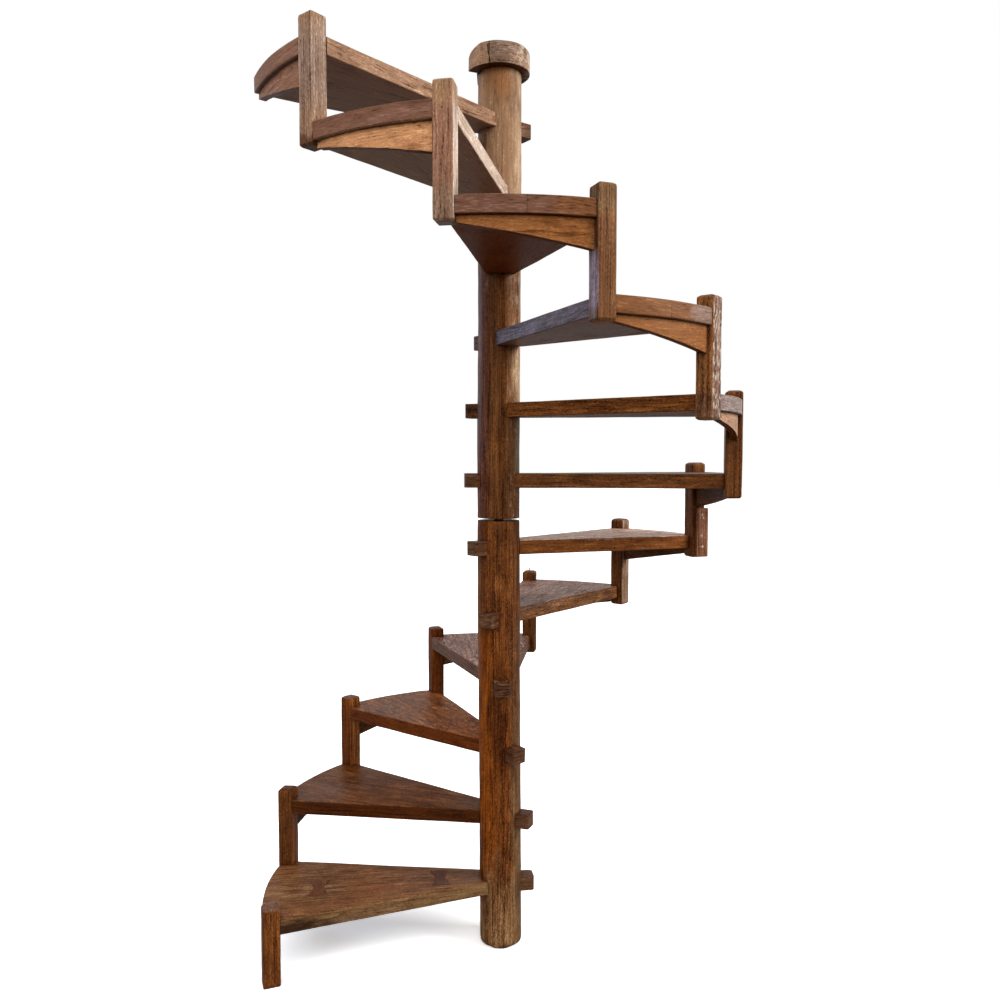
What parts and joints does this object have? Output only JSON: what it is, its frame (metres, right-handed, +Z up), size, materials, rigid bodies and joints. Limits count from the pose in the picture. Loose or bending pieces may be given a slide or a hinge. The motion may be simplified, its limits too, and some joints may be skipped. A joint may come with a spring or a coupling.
{
  "type": "wooden spiral staircase",
  "caption": "Old wooden spiral stair: wedge treads tenoned through a round newel, linked at the rim by stub posts and curved aprons.",
  "frame": {"origin": "centre of the newel's foot, at floor level", "axes": "+Z up along the newel, -Y the side the stair is seen from, the first tread towards -X"},
  "size_m": [1.4618, 1.4618, 2.773],
  "materials": {
    "lower_newel_oak": "warm brown waxed oak with dark checks",
    "upper_newel_oak": "faded tan oak, drawknife facets",
    "dowel_wood": "dark raw wood",
    "cap_wood": "weathered grey-brown wood, cracked",
    "tread_wood": "worn red-brown varnished boards",
    "cleat_wood": "newer brown wood, nailed",
    "post_wood": "brown wood, eased and scuffed",
    "apron_wood": "orange-brown oak, clear varnish",
    "key_wood": "dark inlaid wood"
  },
  "bodies": {
    "root": {"newel_lower": "lower_newel_oak", "newel_upper": "upper_newel_oak", "newel_dowel": "dowel_wood", "newel_cap": "cap_wood", "tread_01": "tread_wood", "tread_02": "tread_wood", "tread_03": "tread_wood", "tread_04": "tread_wood", "tread_05": "tread_wood", "tread_06": "tread_wood", "tread_07": "tread_wood", "tread_08": "tread_wood", "tread_09": "tread_wood", "tread_10": "tread_wood", "tread_11": "tread_wood", "tread_12": "tread_wood", "post_01": "post_wood", "post_02": "post_wood", "post_03": "post_wood", "post_04": "post_wood", "post_05": "post_wood", "post_06": "post_wood", "post_07": "post_wood", "post_08": "post_wood", "post_09": "post_wood", "post_10": "post_wood", "post_11": "post_wood", "post_12": "post_wood", "apron_02": "apron_wood", "apron_03": "apron_wood", "apron_04": "apron_wood", "apron_05": "apron_wood", "apron_06": "apron_wood", "apron_07": "apron_wood", "apron_08": "apron_wood", "apron_09": "apron_wood", "apron_10": "apron_wood", "apron_11": "apron_wood", "apron_12": "apron_wood", "post_cleat": "cleat_wood", "butterfly_keys": "key_wood"}
  },
  "joints": []
}
